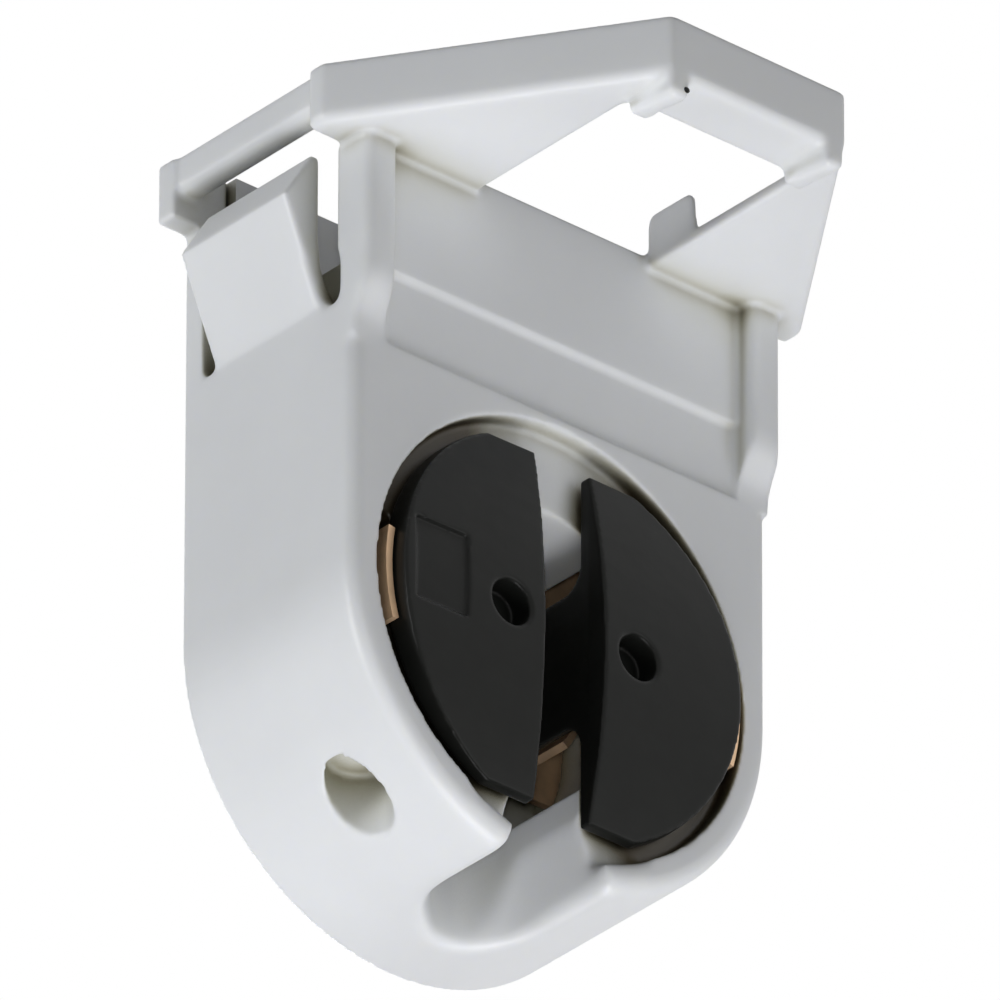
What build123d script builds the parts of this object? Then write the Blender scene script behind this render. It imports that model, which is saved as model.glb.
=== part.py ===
from build123d import *
import math
import os

# Rotor lamp holder for a two-pin fluorescent tube, pushed through a sheet from above.
# Millimetres. The origin is on the lamp axis, in the plane of the front face.
# X runs to the right, Y to the back, Z up. The lamp leaves towards -Y.

# Lamp cap that the holder takes
pin_pitch = 12.7
pin_diameter = 2.35
pin_length = 7.6
pin_play = 0.05

# Housing shell
shell_wall = 1.7
front_wall = 1.35
edge_round = 0.8

# Stepped bore in the front face, and the guide ring for the pins behind it
rotor_gap = 0.85
bore_depth = 1.1
ledge_wall = 1.3
guide_wall = 1.1
guide_past = 0.1
guide_window_angle = 60.0
guide_window_low = 4.5

# Pin channel at the bottom
channel_half = 2.1
channel_mouth_half = 3.3
channel_mouth_height = 4.5
channel_lip = 0.55
channel_rib = 1.35

# Flange, a tray on top of the shell
flange_z = 23.3
flange_plate = 0.7
flange_height = 3.4
flange_lip = 2.15
flange_nose_half = 5.6
flange_reach = 14.7
flange_edge_round = 0.5
flange_corner_round = 0.35
rim_wall = 1.35
window_half = 5.5
window_reach = 11.35
window_round = 0.8
foot_width = 1.15
foot_front_height = 1.2
foot_rear_height = 0.75
foot_round = 0.2
ear_length = 3.65
ear_height = 2.25
ear_wall = 0.35
ear_round = 0.55
ear_lean = 0.3

# Side bars over the hooks, between a front and a rear post
bar_width = 1.55
bar_height = 2.05
bar_round = 0.6
bar_set_in = 0.5
post_set_in = 0.3
front_post = 1.0
rear_post = 1.25

# Hooks, each on a tongue between two gaps
hook_root_z = 14.6
hook_gap_front = 1.45
hook_gap_rear = 1.0
hook_rear_land = 1.35
hook_tip_z = 20.35
hook_reach = 2.35
hook_top_z = 23.1
hook_lean = 1.8
hook_bend = 4.05
hook_tip_round = 0.2
tongue_tip = 0.55

# Columns and label panel on the front face
column_width = 2.05
column_rise = 1.1
column_round = 0.6
column_end_z = 12.15
column_full_z = 16.4
panel_low_z = 12.4
panel_high_z = 16.6
panel_depth = 0.25

# Blind hole under the left shoulder of the shell
dimple_x = -8.65
dimple_y = 5.05
dimple_radius = 1.7
dimple_top_z = -7.9
dimple_wall = 0.9

# Rotor
slot_width = 3.5
slot_flare = 0.2
slot_floor = 1.15
face_rise = 1.1
side_rise = 0.95
flat_half = 9.85
rim_draft = 4.0
rim_draft_depth = 0.35
seat_play = 0.4
hub_radius = 4.2
hub_root = 1.3
hub_floor = 1.55
pivot_radius = 2.0
pivot_length = 2.25
key_hole_x = 4.1
key_hole_radius = 1.2
key_hole_depth = 1.45
key_hole_flare = 0.15
tag_low_x = -10.1
tag_high_x = -6.85
tag_low_z = -1.9
tag_high_z = 2.7
tag_depth = 0.22
lug_rise = 1.1
lug_length = 0.8
lug_half_angle = 12.0
turn_limit = 90.0
stop_play = 0.25
stop_play_angle = 2.0

# Bronze contacts
strip = 0.4
contact_room = 3.125
finger_play = 0.3
finger_front = 4.0
finger_half_angle = 38.0
finger_bump = 0.45
finger_bump_sink = 0.2
wing_play = 0.1
wing_rise = 0.15
wing_low_angle = 16.0
wing_high_angle = 10.0
wing_pocket_angle = 3.0
neck_play = 1.7
terminal_play = 0.55
terminal_top_z = 16.1

# Terminal block and its clamp springs
block_low_z = 12.05
block_high_z = 18.2
block_roof = 1.35
block_side_play = 0.2
block_wall = 1.0
block_core = 2.7
pocket_front = 2.9
entry_pitch = 4.4
entry_radius = 1.5
entry_flare = 0.45
spring_width = 3.4
spring_strip = 0.3
spring_play = 0.15
spring_bend = 0.9
spring_tip_rise = 1.7
prop_x = 2.7
prop_width = 1.1

# Rear cover
cover_wall = 1.7
cover_room = 0.8
cover_play = 0.1
pivot_play = 0.05
hub_play = 0.15
boss_wall = 1.55
clamp_rib_x = 8.4
clamp_rib_width = 1.1
clamp_rib_low_z = -2.25
shelf_half = 6.75
shelf_depth = 1.1
shelf_height = 1.1
latch_z = 6.75
latch_length = 3.4
latch_rise = 0.55
latch_depth = 0.8
latch_play = 0.1

# Places worked out from the sizes above
guide_radius = pin_pitch / 2 + pin_diameter / 2 + pin_play
guide_outer = guide_radius + guide_wall
inner_half = guide_outer + contact_room
half_width = inner_half + shell_wall
flange_half = half_width + flange_lip
bore_radius = inner_half
rotor_radius = bore_radius - rotor_gap
ledge_back = bore_depth + ledge_wall
plate_back = bore_depth - seat_play
slot_depth = pin_length + slot_floor
guide_length = slot_depth + guide_past
strip_back = guide_length + strip
hub_end = slot_depth + hub_floor
cover_front = hub_end + cover_room
shell_depth = cover_front + cover_wall
flange_top_z = flange_z + flange_height
plate_top_z = flange_z + flange_plate
foot_inner_x = flange_nose_half - foot_width
hook_front = front_post + hook_gap_front
hook_back = shell_depth - hook_rear_land - hook_gap_rear
bar_back = shell_depth - rear_post
finger_radius = hub_radius + finger_play
wing_radius = rotor_radius + wing_play
block_half = inner_half - block_side_play
pocket_inner_x = block_core / 2
pocket_outer_x = block_half - block_wall
entry_y = (pocket_front + guide_length) / 2
latch_y = cover_front + (cover_wall - latch_depth) / 2
far = 4 * half_width


def block(x, y, z):
    """Box between the limits given for each axis."""
    size = [high - low for low, high in (x, y, z)]
    middle = [(high + low) / 2 for low, high in (x, y, z)]
    return Pos(*middle) * Box(*size)


def outline(*points):
    """Closed flat outline with straight sides."""
    return make_face(Polyline(*points, close=True))


def along_y(sketch, front, back):
    """Solid from an outline in X and Z, between two places along Y."""
    plane = Plane(origin=(0, front, 0), x_dir=(1, 0, 0), z_dir=(0, -1, 0))
    return extrude(plane * sketch, amount=front - back)


def along_z(sketch, low, high):
    """Solid from an outline in X and Y, between two heights."""
    return extrude(Pos(0, 0, low) * sketch, amount=high - low)


def along_x(sketch, low, high):
    """Solid from an outline in Y and Z, between two places along X."""
    plane = Plane(origin=(low, 0, 0), x_dir=(0, 1, 0), z_dir=(1, 0, 0))
    return extrude(plane * sketch, amount=high - low)


def rod(radius, front, back):
    """Round solid on the lamp axis."""
    return along_y(Circle(radius), front, back)


def tube(inner, outer, front, back):
    """Ring about the lamp axis."""
    return rod(outer, front, back) - rod(inner, front, back)


def sector(inner, outer, middle_angle, half_angle, front, back):
    """Part of a ring about the lamp axis, its angles taken in X and Z."""
    start, end = middle_angle - half_angle, middle_angle + half_angle

    def at(radius, angle):
        turn = math.radians(angle)
        return (radius * math.cos(turn), radius * math.sin(turn))

    edges = [
        ThreePointArc(at(outer, start), at(outer, middle_angle), at(outer, end)),
        Line(at(outer, end), at(inner, end)),
        ThreePointArc(at(inner, end), at(inner, middle_angle), at(inner, start)),
        Line(at(inner, start), at(outer, start)),
    ]
    return along_y(make_face(edges), front, back)


def both_sides(right):
    """A solid and its mirror image on the left."""
    return right + mirror(right, about=Plane.YZ)


def shell_outline(half, top):
    """Straight sides over a half-round bottom."""
    return Circle(half) + Pos(0, top / 2) * Rectangle(2 * half, top)


def flange_outline(inset):
    """Six-sided plan of the flange, moved in by the given amount."""
    slope = math.hypot(flange_half - flange_nose_half, flange_reach)
    run, rise = (flange_half - flange_nose_half) / slope, flange_reach / slope
    nose_x = flange_nose_half - inset * (1 - run) / rise
    side_x = flange_half - inset
    side_y = -inset * (1 - rise) / run
    nose_y = -flange_reach + inset
    return outline(
        (-side_x, shell_depth), (-side_x, side_y), (-nose_x, nose_y),
        (nose_x, nose_y), (side_x, side_y), (side_x, shell_depth),
    )


def make_shell():
    """Outer shell with its front wall, open at the back and the top."""
    shell = along_y(shell_outline(half_width, flange_z), 0, shell_depth)
    front_edges = shell.edges().filter_by_position(Axis.Y, -0.01, 0.01)
    top = front_edges.sort_by(Axis.Z)[-1]
    shell = fillet([edge for edge in front_edges if edge != top], edge_round)
    shell -= along_y(shell_outline(inner_half, far), front_wall, far)
    shell += along_y(Circle(inner_half + edge_round / 2), bore_depth, ledge_back)
    shell -= block((-inner_half, inner_half), (front_wall, far), (block_low_z, far))
    return shell + block((-inner_half, inner_half), (0, front_wall), (hook_root_z, plate_top_z))


def make_tray():
    """Flange with its rim, rounded at the corners and along the lower edge."""
    tray = along_z(flange_outline(0), flange_z, flange_top_z)
    corners = tray.edges().filter_by(Axis.Z).filter_by_position(Axis.Y, -far, shell_depth / 2)
    tray = fillet(corners, flange_corner_round)
    lower = tray.faces().sort_by(Axis.Z)[0].edges()
    tray = fillet(lower.filter_by_position(Axis.Y, -far, shell_depth - 0.1), flange_edge_round)
    hollow = along_z(flange_outline(rim_wall), plate_top_z, far)
    tray -= hollow & block((-far, far), (-far, front_post), (0, far))
    tray -= block((-inner_half, inner_half), (0, far), (plate_top_z, far))
    return tray - block((-inner_half, inner_half), (front_wall, far), (0, far))


def make_feet():
    """Two narrow feet under the nose, lower at their front ends."""
    side = outline(
        (-flange_reach, flange_z - foot_front_height), (-window_reach, flange_z - foot_rear_height),
        (-window_reach, plate_top_z), (-flange_reach, plate_top_z),
    )
    foot = along_x(side, foot_inner_x, flange_nose_half)
    lower = foot.faces().sort_by(Axis.Z)[0].edges()
    foot = fillet(lower, foot_round)
    return both_sides(foot & along_z(flange_outline(0), 0, plate_top_z))


def make_bars():
    """Two side bars over the hooks, rounded along their lower edges."""
    outer = flange_half - bar_set_in
    middle_z = flange_top_z - bar_height / 2
    section = Pos(outer - bar_width / 2, middle_z) * Rectangle(bar_width, bar_height)
    section = fillet(section.vertices().sort_by(Axis.Y)[:2], bar_round)
    return both_sides(along_y(section, front_post, bar_back))


def make_flange():
    """Tray with its window, side bars, feet and ears."""
    tray = make_tray()
    tray -= both_sides(block((inner_half - edge_round, far), (front_post, bar_back), (0, far)))
    tray -= both_sides(block((flange_half - post_set_in, far), (front_post, far), (0, far)))
    tray += make_bars()
    tray += make_feet()

    window = Pos(0, -window_reach / 2) * Rectangle(2 * window_half, window_reach)
    front_corners = window.vertices().sort_by(Axis.Y)[:2]
    tray -= along_z(fillet(front_corners, window_round), 0, plate_top_z)

    low, high = plate_top_z, plate_top_z + ear_height
    ear = outline((0, flange_z), (-ear_length, flange_z), (ear_lean - ear_length, high), (0, high))
    ear = fillet(ear.vertices().sort_by(Axis.Y)[-2:], ear_round)
    tray += both_sides(along_x(ear, window_half, window_half + ear_wall))
    return tray


def make_hook():
    """Right-hand tongue with its wedge-shaped hook; the tongue bends outwards above its root."""
    top_inner = inner_half + hook_lean
    bend_radius = (hook_bend ** 2 + hook_lean ** 2) / (2 * hook_lean)
    bend_half = math.asin(hook_bend / bend_radius) / 2
    bend_middle = (
        top_inner - bend_radius * (1 - math.cos(bend_half)),
        hook_root_z + hook_bend - bend_radius * math.sin(bend_half),
    )
    corners = [
        (top_inner, hook_root_z + hook_bend), (top_inner, hook_top_z),
        (top_inner + tongue_tip, hook_top_z), (half_width + hook_reach, hook_tip_z),
        (half_width, hook_root_z), (half_width, hook_root_z - edge_round),
        (inner_half, hook_root_z - edge_round), (inner_half, hook_root_z),
    ]
    profile = make_face([Polyline(*corners), ThreePointArc(corners[-1], bend_middle, corners[0])])
    profile = fillet(profile.vertices().sort_by(Axis.X)[-1], hook_tip_round)
    return along_y(profile, hook_front, hook_back)


def make_hook_gaps():
    """Cutter for the right-hand tongue: its whole place, with round-ended gaps beside it."""
    cutter = block((inner_half - edge_round, far), (hook_front, hook_back), (hook_root_z, flange_z))
    for start, width in ((front_post, hook_gap_front), (hook_back, hook_gap_rear)):
        middle, foot = start + width / 2, hook_root_z + width / 2
        slot = Pos(middle, foot) * Circle(width / 2)
        slot += Pos(middle, (foot + flange_z) / 2) * Rectangle(width, flange_z - foot)
        cutter += along_x(slot, inner_half - edge_round, far)
    return cutter


def make_columns():
    """Two raised columns on the front face, tapering into it at their lower ends."""
    middle_z = (column_end_z + column_full_z) / 2
    fade = Bezier((0, column_end_z), (0, middle_z), (-column_rise, middle_z), (-column_rise, column_full_z))
    profile = make_face([fade, Polyline(
        (-column_rise, column_full_z), (-column_rise, flange_z), (front_wall, flange_z),
        (front_wall, column_end_z), (0, column_end_z),
    )])
    column = along_x(profile, half_width - column_width, half_width)
    front_y = -column_rise
    plan = outline(
        (half_width - column_width, front_y), (half_width, front_y),
        (half_width, front_wall), (half_width - column_width, front_wall),
    )
    plan = fillet(plan.vertices().sort_by(Axis.Y)[:2], column_round)
    return both_sides(column & along_z(plan, column_end_z, flange_z))


def make_channel():
    """Cutter for the pin channel, round at its back, wider towards its mouth and with a sloped lip."""
    def plan(half):
        straight = slot_depth - half
        return Pos(0, straight) * Circle(half) + Pos(0, straight / 2 - 1) * Rectangle(2 * half, straight + 2)

    taper = math.degrees(math.atan2(channel_mouth_half - channel_half, channel_mouth_height))
    mouth = Pos(0, 0, -half_width) * plan(channel_mouth_half)
    cutter = extrude(mouth, amount=channel_mouth_height, taper=taper)
    lip = Pos(0, 0, -half_width) * plan(channel_mouth_half + channel_lip)
    cutter += extrude(lip, amount=2 * channel_lip, taper=45)
    cutter += along_z(plan(channel_mouth_half + channel_lip), -half_width - 1, -half_width)
    return cutter + along_z(plan(channel_half), -far, -guide_radius / 2)


def make_housing():
    """The whole white moulding."""
    housing = make_shell() + tube(guide_radius, guide_outer, bore_depth, guide_length)
    rib = (channel_half, channel_half + channel_rib)
    housing += both_sides(block(rib, (bore_depth, guide_length), (-inner_half - edge_round, -guide_radius)))
    web = block((-channel_half, channel_half), (bore_depth, guide_length), (-inner_half, -guide_radius))
    housing += web
    prop = (prop_x - prop_width / 2, prop_x + prop_width / 2)
    housing += both_sides(block(prop, (front_wall, guide_length), (guide_radius, block_low_z)))

    boss = Pos(dimple_x, dimple_y) * Circle(dimple_radius + dimple_wall)
    within = along_y(shell_outline(half_width - shell_wall / 2, far), 0, shell_depth)
    housing += along_z(boss, -far, dimple_top_z + dimple_wall) & within
    housing -= along_z(Pos(dimple_x, dimple_y) * Circle(dimple_radius), -far, dimple_top_z)

    housing -= rod(bore_radius, -1, bore_depth)
    housing -= rod(guide_radius, -1, guide_length + 1)
    housing -= make_channel()

    window = sector(guide_radius / 2, inner_half, 0, guide_window_angle, ledge_back, far)
    housing -= both_sides(window & block((0, far), (0, far), (guide_window_low, block_low_z)))
    pocket_angle = max(wing_low_angle, wing_high_angle) + wing_pocket_angle
    pocket = sector(wing_radius - strip, bore_radius, 0, pocket_angle, 0, ledge_back)
    housing -= both_sides(pocket)

    housing -= both_sides(make_hook_gaps())
    housing += both_sides(make_hook())
    housing += make_columns()
    panel_half = half_width - column_width
    housing -= block((-panel_half, panel_half), (-1, panel_depth), (panel_low_z, panel_high_z))
    housing += make_flange()

    reach = inner_half + latch_rise + latch_play
    latch_room = block(
        (inner_half - edge_round, reach),
        (latch_y - latch_play, latch_y + latch_depth + latch_play),
        (latch_z - latch_length / 2 - latch_play, latch_z + latch_length / 2 + latch_play),
    )
    return housing - both_sides(latch_room)


def make_dome():
    """Solid behind the rotor's domed face, curved more from top to bottom than across."""
    reach = rotor_radius + 1
    across = (face_rise - side_rise) * (reach / rotor_radius) ** 2
    upward = face_rise * (reach / flat_half) ** 2
    rows = [
        [(x, side + end - face_rise, z) for z, end in ((-reach, upward), (0, -upward), (reach, upward))]
        for x, side in ((-reach, across), (0, -across), (reach, across))
    ]
    return extrude(Face.make_bezier_surface(rows), amount=hub_end, dir=(0, 1, 0))


def make_key_hole():
    """Cutter for one blind key hole with a flared rim, on the lamp axis.

    It is turned so that its seam does not lie along the middle of the domed face.
    """
    rim_y = key_hole_flare - face_rise + (face_rise - side_rise) * (key_hole_x / rotor_radius) ** 2
    reach = 2 * face_rise
    profile = outline(
        (0, key_hole_depth - face_rise), (key_hole_radius, key_hole_depth - face_rise),
        (key_hole_radius, rim_y), (key_hole_radius + reach, rim_y - reach), (0, rim_y - reach),
    )
    return Rot(0, 45, 0) * revolve(profile, axis=Axis.Y)


def make_disc():
    """Plate of the rotor before its face is domed: round, with flats and a drafted rim."""
    front = -2 * face_rise
    draft = (rim_draft_depth - front) * math.tan(math.radians(rim_draft))
    profile = outline(
        (0, front), (rotor_radius - draft, front), (rotor_radius, rim_draft_depth),
        (rotor_radius, plate_back), (0, plate_back),
    )
    disc = Rot(0, 45, 0) * revolve(profile, axis=Axis.Y)
    return disc & block((-far, far), (-far, far), (-flat_half, flat_half))


def make_rotor():
    """Domed face plate, hub, pivot and stop lug in one piece."""
    dome = make_dome()
    rotor = make_disc() & dome
    rotor -= Pos(-key_hole_x, 0, 0) * make_key_hole()
    rotor -= Pos(key_hole_x, 0, 0) * make_key_hole()
    tag = block((tag_low_x, tag_high_x), (-face_rise - 1, 0), (tag_low_z, tag_high_z))
    rotor -= tag - Pos(0, tag_depth, 0) * dome
    rotor += rod(hub_radius, plate_back, hub_end)
    back_rims = rotor.edges().filter_by(GeomType.CIRCLE)
    back_rims = back_rims.filter_by_position(Axis.Y, plate_back - 0.01, plate_back + 0.01)
    rotor = fillet(back_rims.group_by(SortBy.RADIUS)[0], hub_root)
    rotor += rod(pivot_radius, hub_end - 1, hub_end + pivot_length)
    rotor += sector(hub_radius - 1, hub_radius + lug_rise, 90, lug_half_angle, hub_end - lug_length, hub_end)
    half, reach = slot_width / 2, 2 * face_rise
    flare = 2 * slot_flare
    slot = outline(
        (-half, slot_depth), (-half, 0), (-half - flare, -reach),
        (half + flare, -reach), (half, 0), (half, slot_depth),
    )
    return rotor - along_z(slot, -far, far)


def make_contact():
    """Right-hand bronze strip: back plate, finger beside the hub, wing at the rim and terminal plate."""
    outer = wing_radius + strip
    neck_outer_x = inner_half - neck_play
    wing_low_z = -wing_radius * math.sin(math.radians(wing_low_angle))
    wing_high_z = wing_radius * math.sin(math.radians(wing_high_angle))
    wing_middle = (wing_high_angle - wing_low_angle) / 2
    wing_half_angle = (wing_high_angle + wing_low_angle) / 2
    sheet = (guide_length, strip_back)
    terminal_z = (block_low_z + block_wall, terminal_top_z)
    contact = block((0, outer), sheet, (wing_low_z, wing_high_z)) & tube(finger_radius, outer, 0, far)
    contact += block((finger_radius, neck_outer_x), sheet, (0, terminal_top_z))
    contact += block((pocket_inner_x + terminal_play, neck_outer_x), sheet, terminal_z)
    contact += sector(finger_radius, finger_radius + strip, 0, finger_half_angle, finger_front, strip_back)
    contact += sector(wing_radius, outer, wing_middle, wing_half_angle, -wing_rise, strip_back)
    bump = Pos(finger_radius + strip - finger_bump_sink, 0) * Circle(finger_bump)
    return contact + (along_y(bump, finger_front, guide_length) & tube(finger_radius, far, 0, far))


def make_terminal_block():
    """White insert with two pockets open below and four wire entries in its roof."""
    back = cover_front - cover_play
    body = block((-block_half, block_half), (front_wall, back), (block_low_z, block_high_z))
    pocket = block(
        (pocket_inner_x, pocket_outer_x), (pocket_front, strip_back + cover_play),
        (block_low_z - 1, block_high_z - block_roof),
    )
    body -= both_sides(pocket)
    entries = [Pos(x, entry_y) * Circle(entry_radius) for x in entry_places()]
    for entry in entries:
        body -= along_z(entry, block_low_z, block_high_z + 1)
    rims = body.edges().filter_by(GeomType.CIRCLE).group_by(Axis.Z)[-1]
    return chamfer(rims, entry_flare)


def entry_places():
    """X of the four wire entries, from left to right."""
    middle = (pocket_inner_x + pocket_outer_x) / 2
    inner, outer = middle - entry_pitch / 2, middle + entry_pitch / 2
    return (-outer, -inner, inner, outer)


def make_clamp_spring(x):
    """Steel leaf behind one wire entry, bent so that its free end points at the bronze strip."""
    start = pocket_front + spring_play
    top = block_high_z - block_roof - spring_play
    tip_y = guide_length - spring_play - spring_strip
    low = block_low_z + block_wall
    knee_y = start + spring_strip + spring_bend
    tip_z = low + spring_tip_rise
    leaf = outline(
        (start, low), (start + spring_strip, low), (start + spring_strip, top - spring_bend),
        (knee_y, top - spring_strip), (tip_y, tip_z), (tip_y + spring_strip, tip_z + spring_strip / 2),
        (knee_y + spring_strip / 2, top), (knee_y - spring_strip, top), (start, top - spring_bend),
    )
    return along_x(leaf, x - spring_width / 2, x + spring_width / 2)


def make_rear_cover():
    """Back plate with the pivot bearing, turning stop, clamping ribs, shelf and latches."""
    half = inner_half - cover_play
    cover = along_y(shell_outline(half, flange_top_z), cover_front, shell_depth)
    cover += rod(pivot_radius + boss_wall, hub_end + hub_play, cover_front + 1)

    free = turn_limit + lug_half_angle + stop_play_angle
    stop = (hub_end - lug_length, cover_front + 1)
    cover += sector(hub_radius + stop_play, hub_radius + lug_rise, 270, 180 - free, *stop)

    rib = (clamp_rib_x - clamp_rib_width / 2, clamp_rib_x + clamp_rib_width / 2)
    rib_top = block_low_z - cover_play
    cover += both_sides(block(rib, (strip_back, cover_front + 1), (clamp_rib_low_z, rib_top)))
    shelf = (cover_front - shelf_depth, cover_front + 1)
    cover += block((-shelf_half, shelf_half), shelf, (block_high_z, block_high_z + shelf_height))

    latch = block(
        (half - 1, inner_half + latch_rise), (latch_y, latch_y + latch_depth),
        (latch_z - latch_length / 2, latch_z + latch_length / 2),
    )
    cover += both_sides(latch)
    return cover - rod(pivot_radius + pivot_play, 0, far)


def main():
    right_contact = make_contact()
    parts = {
        "housing": make_housing(),
        "rear_cover": make_rear_cover(),
        "rotor": make_rotor(),
        "terminal_block": make_terminal_block(),
        "contact_right": right_contact,
        "contact_left": mirror(right_contact, about=Plane.YZ),
    }
    for number, x in enumerate(entry_places(), start=1):
        parts[f"clamp_spring_{number}"] = make_clamp_spring(x)

    os.makedirs("parts", exist_ok=True)
    for name, shape in parts.items():
        export_step(shape, f"parts/{name}.step")


main()
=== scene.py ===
import math

import bmesh
import bpy
import numpy as np
from mathutils import Matrix, Vector


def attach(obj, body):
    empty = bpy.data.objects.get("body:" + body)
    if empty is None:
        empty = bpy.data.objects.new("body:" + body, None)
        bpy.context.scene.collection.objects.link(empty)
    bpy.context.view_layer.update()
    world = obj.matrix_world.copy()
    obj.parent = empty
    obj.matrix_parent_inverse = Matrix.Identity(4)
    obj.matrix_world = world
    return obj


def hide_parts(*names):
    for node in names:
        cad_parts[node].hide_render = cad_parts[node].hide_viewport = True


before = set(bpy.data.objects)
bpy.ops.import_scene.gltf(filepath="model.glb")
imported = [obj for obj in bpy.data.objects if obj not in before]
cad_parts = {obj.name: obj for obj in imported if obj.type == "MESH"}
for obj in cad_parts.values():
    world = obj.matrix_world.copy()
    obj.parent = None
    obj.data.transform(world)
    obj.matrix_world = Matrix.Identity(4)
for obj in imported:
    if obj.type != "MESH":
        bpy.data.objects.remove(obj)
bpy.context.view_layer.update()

MM = 0.001

# Camera: the photograph is taken from the left, in front and below, with a long lens. Angles are in degrees,
# and ORIGIN_PIXEL is where the frame's origin falls in the picture.
CAMERA_AZIMUTH = -40.76
CAMERA_ELEVATION = -30.78
CAMERA_ROLL = 0.15
CAMERA_DISTANCE = 1469 * MM
CAMERA_CLIP = (0.05, 20.0)
PIXELS_PER_MM = 20.459
FRAME_PIXELS = 1000
ORIGIN_PIXEL = (561.9, 637.4)
SENSOR_MM = 36.0

# Base colours.
WHITE = (0.80, 0.815, 0.83)
CHARCOAL = (0.009, 0.0095, 0.0085)
BRONZE = (0.92, 0.63, 0.39)
STEEL = (0.55, 0.56, 0.57)
FLOOR_GREY = (0.86, 0.86, 0.86)

# Tints that the white plastic is multiplied by to paint shade into its colour, from none to the darkest.
CLEAR = (1.0, 1.0, 1.0)
FAINT_OLIVE = (0.86, 0.85, 0.78)
PALE_OLIVE = (0.62, 0.59, 0.49)
DEEP_OLIVE = (0.46, 0.44, 0.33)
RING_SHADE_BROWN = (0.30, 0.25, 0.19)
OLIVE = (0.17, 0.145, 0.10)
BROWN = (0.02, 0.017, 0.01)

# Painted shade in shut-in places: how far the walls round them are looked for, and the painted shade tint
# for each degree of openness.
NARROW_REACH = 1.7 * MM
NARROW_SHADE_STOPS = ((0.0, BROWN), (0.34, OLIVE), (0.54, PALE_OLIVE), (0.80, CLEAR))
DEEP_REACH = 4.5 * MM
DEEP_SHADE_STOPS = ((0.18, DEEP_OLIVE), (0.52, FAINT_OLIVE), (0.80, CLEAR))
OPENNESS_SAMPLES = 8

# Stepped bore round the rotor, where brown shade is painted into the colour: its radius and soft edge, the
# depths behind the front face between which the painted shade comes in and goes out, and where it comes in
# beside the middle plane.
BORE_RADIUS = 11.8 * MM
BORE_EDGE = 0.12 * MM
SHADE_STARTS = (0.10 * MM, 0.75 * MM)
SHADE_ENDS = (2.3 * MM, 2.6 * MM)
SHADE_ASIDE = (3.8 * MM, 5.2 * MM)

# Finishes, as inputs of the Principled shader.
WHITE_FINISH = {
    "Roughness": 0.42,
    "IOR": 1.5,
    "Subsurface Weight": 0.35,
    "Subsurface Radius": (1.0, 0.95, 0.75),
    "Subsurface Scale": 0.9 * MM,
}
DARK_FINISH = {"Roughness": 0.36, "Specular IOR Level": 0.14}
BRONZE_FINISH = {"Metallic": 0.55, "Roughness": 0.42}
STEEL_FINISH = {"Metallic": 1.0, "Roughness": 0.32}
FLOOR_FINISH = {"Base Color": (*FLOOR_GREY, 1.0), "Roughness": 0.8}
GRAIN_HEIGHT = 0.02 * MM

# Softened mouldings: voxel size, and rounds of smoothing.
HOUSING_VOXEL = 0.14 * MM
HOUSING_ROUNDS = 6
ROTOR_VOXEL = 0.09 * MM
ROTOR_ROUNDS = 4
INNER_ROUNDS = 2
SMOOTH_FACTOR = 0.5
MERGE_DISTANCE = 0.002 * MM
# An inner corner may fill up by this much; beyond that it takes a smaller share of each step, down to
# INNER_SHARE.
FILL_ALLOWED = 0.01 * MM
INNER_SHARE = 0.1
# Share of the faces that is kept in the end.
KEPT_SHARE = 0.25

# Places where the housing is rounded most: the mouth of the pin channel, the lower end of the left column,
# and the two feet. Each is the low and high corner of a box in millimetres, and the rounds. MELT_FADE is the
# width, in millimetres, over which this fades out inside a box.
HOUSING_MELTS = (
    ((-6.0, -1.5, -15.0), (6.0, 10.5, -8.6), 90),
    ((-15.0, -2.0, 11.0), (-11.0, 3.0, 17.5), 60),
    ((-6.4, -16.0, 20.8), (-3.7, -12.0, 24.2), 40),
    ((3.7, -16.0, 20.8), (6.4, -12.0, 24.2), 40),
)
MELT_FADE = 0.8

# Speck of dark plastic on the end of the left foot, in millimetres.
SPECK_PLACE = (-4.68, -14.66, 22.72)
SPECK_SIZE = (0.19, 0.08, 0.16)
SPECK_SUBDIVISIONS = 3

# Lamps: name, direction from the object, distance, side, power and colour, in metres and watts.
PLAIN = (1.0, 1.0, 1.0)
LAMPS = (
    ("below", (-0.04, -0.20, -1.0), 0.50, 0.36, 2.0, (0.98, 0.98, 1.0)),
    ("left", (-1.0, 0.36, 0.02), 0.50, 0.20, 1.14, (0.97, 0.985, 1.0)),
    ("front", (0.5, -1.0, -0.25), 0.68, 0.40, 0.95, PLAIN),
    ("rear", (0.3, 1.0, 0.12), 0.70, 0.40, 1.5, PLAIN),
)
# Small lamp beside the camera: its height over the line of sight, as a share of the distance, then the
# distance, side, power and colour.
FLASH_RISE = 0.02
FLASH = (1.20, 0.03, 1.5, PLAIN)

# Light of the world on the object, straight below it and from SKY_LEVEL upwards.
SKY_BELOW = 0.16
SKY_ABOVE = 0.03
SKY_LEVEL = 0.5

FLOOR_DROP = 850 * MM
FLOOR_SIDE = 6.0


def new_material(name, finish):
    """Material with a Principled shader and the given inputs of it set, as (material, tree, shader)."""
    material = bpy.data.materials.new(name)
    material.use_nodes = True
    tree = material.node_tree
    shader = tree.nodes["Principled BSDF"]
    for socket, value in finish.items():
        shader.inputs[socket].default_value = value
    return material, tree, shader


def shade(colour, share):
    """Colour made darker or lighter."""
    return tuple(channel * share for channel in colour)


def noise(tree, scale, detail):
    """Noise over the object's own coordinates, scale in cycles for each metre."""
    coords = tree.nodes.new("ShaderNodeTexCoord")
    node = tree.nodes.new("ShaderNodeTexNoise")
    node.inputs["Scale"].default_value = scale
    node.inputs["Detail"].default_value = detail
    node.inputs["Roughness"].default_value = 0.5
    tree.links.new(coords.outputs["Object"], node.inputs["Vector"])
    return node.outputs["Fac"]


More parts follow.
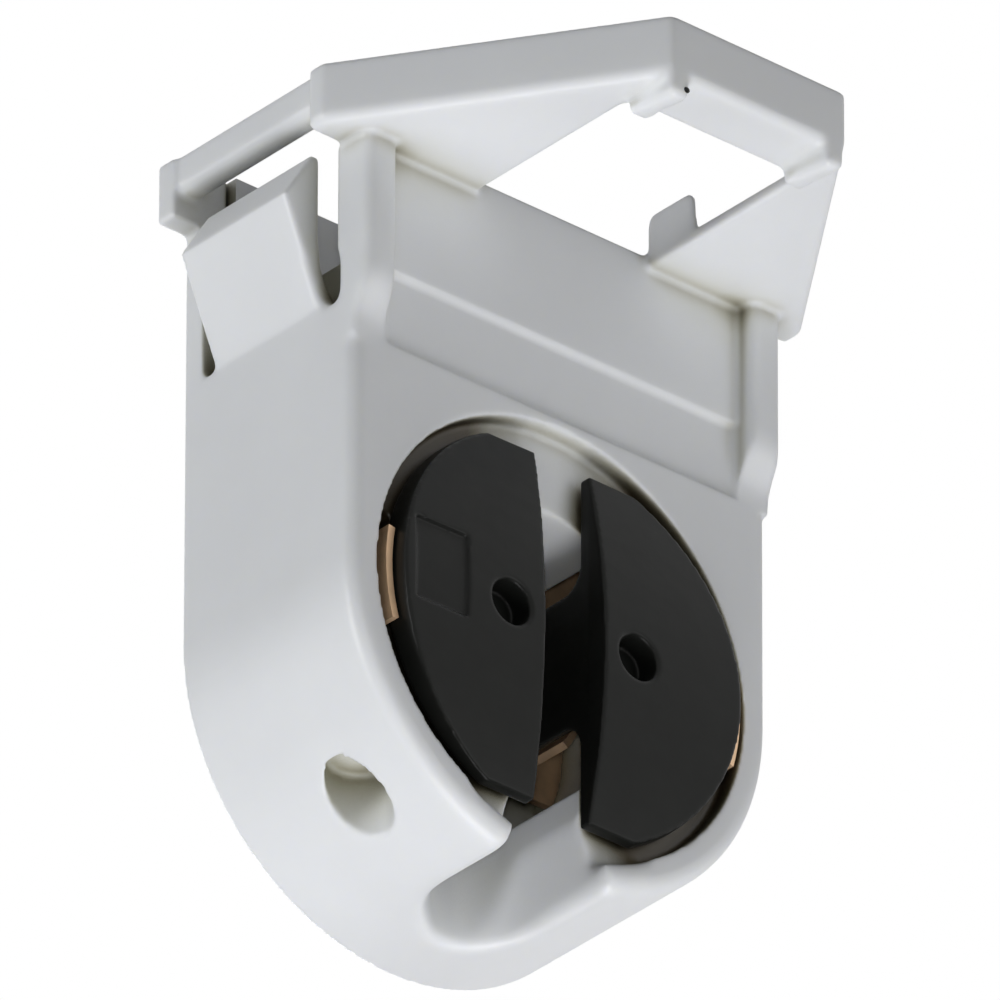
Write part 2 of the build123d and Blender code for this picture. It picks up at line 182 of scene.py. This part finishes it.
def ramp(tree, value, *stops):
    """Colour ramp driven by a value; each stop is (position, colour)."""
    node = tree.nodes.new("ShaderNodeValToRGB")
    elements = node.color_ramp.elements
    while len(elements) < len(stops):
        elements.new(0.5)
    for element, (position, colour) in zip(elements, stops):
        element.position = position
        element.color = (*colour, 1.0)
    tree.links.new(value, node.inputs["Fac"])
    return node.outputs["Color"]


def grain(tree, shader, scale, strength):
    """Fine bump over the whole surface."""
    node = tree.nodes.new("ShaderNodeBump")
    node.inputs["Strength"].default_value = strength
    node.inputs["Distance"].default_value = GRAIN_HEIGHT
    tree.links.new(noise(tree, scale, 2), node.inputs["Height"])
    tree.links.new(node.outputs["Normal"], shader.inputs["Normal"])


def multiply(tree, first, second):
    """Product of two colours."""
    node = tree.nodes.new("ShaderNodeMix")
    node.data_type = "RGBA"
    node.blend_type = "MULTIPLY"
    node.inputs["Factor"].default_value = 1.0
    tree.links.new(first, node.inputs["A"])
    tree.links.new(second, node.inputs["B"])
    return node.outputs["Result"]


def openness(tree, reach):
    """How open a place is, from 0 where it is shut in on all sides to 1."""
    node = tree.nodes.new("ShaderNodeAmbientOcclusion")
    node.inputs["Distance"].default_value = reach
    node.samples = OPENNESS_SAMPLES
    return node.outputs["AO"]


def math_node(tree, operation, *values):
    """Result of an operation on one or two linked values."""
    node = tree.nodes.new("ShaderNodeMath")
    node.operation = operation
    for value, socket in zip(values, node.inputs):
        tree.links.new(value, socket)
    return node.outputs["Value"]


def mapped(tree, value, start, end, low=0.0, high=1.0):
    """Value carried over from one range to another, and held at its ends."""
    node = tree.nodes.new("ShaderNodeMapRange")
    for name, number in (("From Min", start), ("From Max", end), ("To Min", low), ("To Max", high)):
        node.inputs[name].default_value = number
    tree.links.new(value, node.inputs["Value"])
    return node.outputs["Result"]


def ring_shade_mask(tree):
    """Mask of the painted shade: 1 in the stepped bore round the rotor and 0 elsewhere, over the object's
    own coordinates.
    """
    coords = tree.nodes.new("ShaderNodeTexCoord")
    split = tree.nodes.new("ShaderNodeSeparateXYZ")
    tree.links.new(coords.outputs["Object"], split.inputs["Vector"])
    level = tree.nodes.new("ShaderNodeCombineXYZ")
    tree.links.new(split.outputs["X"], level.inputs["X"])
    tree.links.new(split.outputs["Z"], level.inputs["Z"])
    radius = tree.nodes.new("ShaderNodeVectorMath")
    radius.operation = "LENGTH"
    tree.links.new(level.outputs["Vector"], radius.inputs[0])
    across = math_node(tree, "ABSOLUTE", split.outputs["X"])
    depth = mapped(tree, radius.outputs["Value"], BORE_RADIUS, BORE_RADIUS + BORE_EDGE, 1.0, 0.0)
    for limit in (
        mapped(tree, split.outputs["Y"], *SHADE_STARTS),
        mapped(tree, split.outputs["Y"], *SHADE_ENDS, 1.0, 0.0),
        mapped(tree, across, *SHADE_ASIDE),
    ):
        depth = math_node(tree, "MULTIPLY", depth, limit)
    return depth


def white_plastic():
    """Milky moulded plastic: faint mottling, painted olive shade where it is shut in, painted brown shade in
    the bore round the rotor, fine surface grain.
    """
    material, tree, shader = new_material("white_plastic", WHITE_FINISH)
    mottled = ramp(tree, noise(tree, 160, 4), (0.35, shade(WHITE, 0.975)), (0.65, WHITE))
    # Painted shade: olive to brown where the surface is shut in, by how open it is close by and farther out.
    narrow_shade = ramp(tree, openness(tree, NARROW_REACH), *NARROW_SHADE_STOPS)
    deep_shade = ramp(tree, openness(tree, DEEP_REACH), *DEEP_SHADE_STOPS)
    # Painted brown shade in the stepped bore round the rotor.
    ring_shade = ramp(tree, ring_shade_mask(tree), (0.0, CLEAR), (1.0, RING_SHADE_BROWN))
    painted_shade = multiply(tree, multiply(tree, narrow_shade, deep_shade), ring_shade)
    tree.links.new(multiply(tree, mottled, painted_shade), shader.inputs["Base Color"])
    grain(tree, shader, 2600, 0.06)
    return material


def dark_plastic():
    """Satin charcoal plastic with a fine grain."""
    material, tree, shader = new_material("dark_plastic", DARK_FINISH)
    tone = ramp(tree, noise(tree, 700, 3), (0.3, shade(CHARCOAL, 0.88)), (0.7, shade(CHARCOAL, 1.15)))
    tree.links.new(tone, shader.inputs["Base Color"])
    grain(tree, shader, 3200, 0.12)
    return material


def strip_metal(name, colour, finish):
    """Rolled strip with a faint mottling."""
    material, tree, shader = new_material(name, finish)
    tone = ramp(tree, noise(tree, 900, 4), (0.3, shade(colour, 0.8)), (0.7, colour))
    tree.links.new(tone, shader.inputs["Base Color"])
    grain(tree, shader, 2000, 0.15)
    return material


def dress(node, material):
    """Gives a CAD node its finish."""
    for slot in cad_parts[node].material_slots:
        slot.material = material


def evaluated_mesh(piece):
    """New mesh of a piece with its modifiers applied."""
    return bpy.data.meshes.new_from_object(piece.evaluated_get(bpy.context.evaluated_depsgraph_get()))


def vertex_values(mesh, field):
    """Positions or normals of a mesh's vertices, one row each."""
    values = np.empty(3 * len(mesh.vertices))
    mesh.vertices.foreach_get(field, values)
    return values.reshape(-1, 3)


def smoothed(piece, rounds, group=""):
    """New mesh of a piece, smoothed in the given rounds, all over or in a vertex group."""
    smooth = piece.modifiers.new("smooth", "SMOOTH")
    smooth.factor = SMOOTH_FACTOR
    smooth.iterations = rounds
    smooth.vertex_group = group
    mesh = evaluated_mesh(piece)
    piece.modifiers.remove(smooth)
    return mesh


def melt(piece, low, high, rounds):
    """Rounds a piece strongly inside a box that is given in millimetres, fading out at the box's sides."""
    group = piece.vertex_groups.new(name="melt")
    places = vertex_values(piece.data, "co") / MM
    inside = np.minimum(places - np.array(low), np.array(high) - places).min(axis=1) / MELT_FADE
    for index in np.nonzero(inside > 0.0)[0]:
        group.add([int(index)], float(min(inside[index], 1.0)), "REPLACE")
    piece.data = smoothed(piece, rounds, group.name)
    piece.vertex_groups.clear()


def finish_mesh(data, material):
    """Gives a mesh one material and smooth shading."""
    data.materials.clear()
    data.materials.append(material)
    data.polygons.foreach_set("use_smooth", [True] * len(data.polygons))


def soften(node, body, material, voxel, rounds, melts=()):
    """Copy of a CAD node with its moulded edges softened; it is shown in the node's place.

    Outer edges are smoothed in all the rounds, and inner corners hardly beyond the first few, so that they
    stay crisp.
    """
    mesh = bmesh.new()
    mesh.from_mesh(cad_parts[node].data)
    bmesh.ops.remove_doubles(mesh, verts=mesh.verts, dist=MERGE_DISTANCE)
    piece = bpy.data.objects.new(node + "_moulding", bpy.data.meshes.new(node + "_moulding"))
    mesh.to_mesh(piece.data)
    mesh.free()
    bpy.context.collection.objects.link(piece)

    remesh = piece.modifiers.new("remesh", "REMESH")
    remesh.mode = "VOXEL"
    remesh.voxel_size = voxel
    piece.data = evaluated_mesh(piece)
    piece.modifiers.clear()
    piece.data = smoothed(piece, INNER_ROUNDS)
    crisp, normals = vertex_values(piece.data, "co"), vertex_values(piece.data, "normal")
    step = vertex_values(smoothed(piece, rounds), "co") - crisp
    filled = np.einsum("ij,ij->i", step, normals)
    share = np.clip(1.0 - filled / FILL_ALLOWED, INNER_SHARE, 1.0)
    piece.data.vertices.foreach_set("co", (crisp + step * share[:, None]).ravel())
    for low, high, more_rounds in melts:
        melt(piece, low, high, more_rounds)

    thin = piece.modifiers.new("thin", "DECIMATE")
    thin.ratio = KEPT_SHARE
    piece.data = evaluated_mesh(piece)
    piece.modifiers.clear()
    finish_mesh(piece.data, material)
    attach(piece, body)
    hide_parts(node)


def speck(name, place, size, material):
    """Small flat bead on a surface, with its place and half-widths in millimetres."""
    mesh = bmesh.new()
    bmesh.ops.create_icosphere(mesh, subdivisions=SPECK_SUBDIVISIONS, radius=1.0)
    bmesh.ops.scale(mesh, verts=mesh.verts, vec=Vector(size) * MM)
    bmesh.ops.translate(mesh, verts=mesh.verts, vec=Vector(place) * MM)
    data = bpy.data.meshes.new(name)
    mesh.to_mesh(data)
    mesh.free()
    finish_mesh(data, material)
    piece = bpy.data.objects.new(name, data)
    bpy.context.collection.objects.link(piece)
    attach(piece, "root")


def backdrop_world():
    """White to the eye and in reflections; otherwise a soft light that is stronger from below."""
    world = bpy.data.worlds.new("studio")
    world.use_nodes = True
    tree = world.node_tree
    background = tree.nodes["Background"]
    coords = tree.nodes.new("ShaderNodeTexCoord")
    split = tree.nodes.new("ShaderNodeSeparateXYZ")
    tree.links.new(coords.outputs["Generated"], split.inputs["Vector"])
    light = mapped(tree, split.outputs["Z"], -1.0, SKY_LEVEL, SKY_BELOW, SKY_ABOVE)
    path = tree.nodes.new("ShaderNodeLightPath")
    seen = path.outputs["Is Camera Ray"]
    for ray in ("Is Glossy Ray", "Is Transmission Ray"):
        seen = math_node(tree, "MAXIMUM", seen, path.outputs[ray])
    strength = tree.nodes.new("ShaderNodeMix")
    strength.inputs["B"].default_value = 1.0
    tree.links.new(seen, strength.inputs["Factor"])
    tree.links.new(light, strength.inputs["A"])
    tree.links.new(strength.outputs["Result"], background.inputs["Strength"])
    background.inputs["Color"].default_value = (1.0, 1.0, 1.0, 1.0)
    bpy.context.scene.world = world


def area_light(name, direction, distance, side, power, colour):
    """Soft square lamp that stands off from the object in a direction and faces it."""
    data = bpy.data.lights.new(name, "AREA")
    data.size = side
    data.energy = power
    data.color = colour
    lamp = bpy.data.objects.new(name, data)
    bpy.context.collection.objects.link(lamp)
    place = Vector(direction).normalized() * distance
    lamp.location = place
    lamp.rotation_euler = (-place).to_track_quat("-Z", "Y").to_euler()


def add_lights():
    """Soft light from below, the left, the front right and the back, and a small lamp near the camera."""
    for lamp in LAMPS:
        area_light(*lamp)
    _, up, forward = camera_axes()
    area_light("flash", up * FLASH_RISE - forward, *FLASH)


def add_floor():
    """Pale floor far under the object, which is held up by its flange."""
    bpy.ops.mesh.primitive_plane_add(size=FLOOR_SIDE, location=(0, 0, -FLOOR_DROP))
    floor = bpy.context.object
    floor.name = "floor"
    material, _, _ = new_material("floor", FLOOR_FINISH)
    floor.data.materials.append(material)


def camera_axes():
    """Right, up and forward directions of the camera."""
    azimuth, elevation = math.radians(CAMERA_AZIMUTH), math.radians(CAMERA_ELEVATION)
    back = Vector((
        math.sin(azimuth) * math.cos(elevation),
        -math.cos(azimuth) * math.cos(elevation),
        math.sin(elevation),
    ))
    right = (-back).cross(Vector((0, 0, 1))).normalized()
    up = right.cross(-back)
    roll = math.radians(CAMERA_ROLL)
    return (
        right * math.cos(roll) + up * math.sin(roll),
        up * math.cos(roll) - right * math.sin(roll),
        -back,
    )


def add_camera():
    """Camera at the photograph's viewing angle, framing the object as the photograph does."""
    right, up, forward = camera_axes()
    across, down = ((pixel - FRAME_PIXELS / 2) / PIXELS_PER_MM * MM for pixel in ORIGIN_PIXEL)
    target = up * down - right * across
    data = bpy.data.cameras.new("camera")
    data.sensor_width = SENSOR_MM
    data.lens = PIXELS_PER_MM * CAMERA_DISTANCE / MM * SENSOR_MM / FRAME_PIXELS
    data.clip_start, data.clip_end = CAMERA_CLIP
    camera = bpy.data.objects.new("camera", data)
    bpy.context.collection.objects.link(camera)
    place = target - forward * CAMERA_DISTANCE
    camera.matrix_world = Matrix((
        (right.x, up.x, -forward.x, place.x),
        (right.y, up.y, -forward.y, place.y),
        (right.z, up.z, -forward.z, place.z),
        (0.0, 0.0, 0.0, 1.0),
    ))
    bpy.context.scene.camera = camera


white = white_plastic()
dark = dark_plastic()
bronze = strip_metal("bronze", BRONZE, BRONZE_FINISH)
steel = strip_metal("spring_steel", STEEL, STEEL_FINISH)
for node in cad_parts:
    if node == "rotor":
        dress(node, dark)
    elif node.startswith("contact"):
        dress(node, bronze)
    elif node.startswith("clamp_spring"):
        dress(node, steel)
    else:
        dress(node, white)
soften("housing", "root", white, HOUSING_VOXEL, HOUSING_ROUNDS, HOUSING_MELTS)
soften("rotor", "rotor_body", dark, ROTOR_VOXEL, ROTOR_ROUNDS)
speck("gate_speck", SPECK_PLACE, SPECK_SIZE, dark)

backdrop_world()
add_lights()
add_floor()
add_camera()
bpy.context.scene.view_settings.view_transform = "Standard"
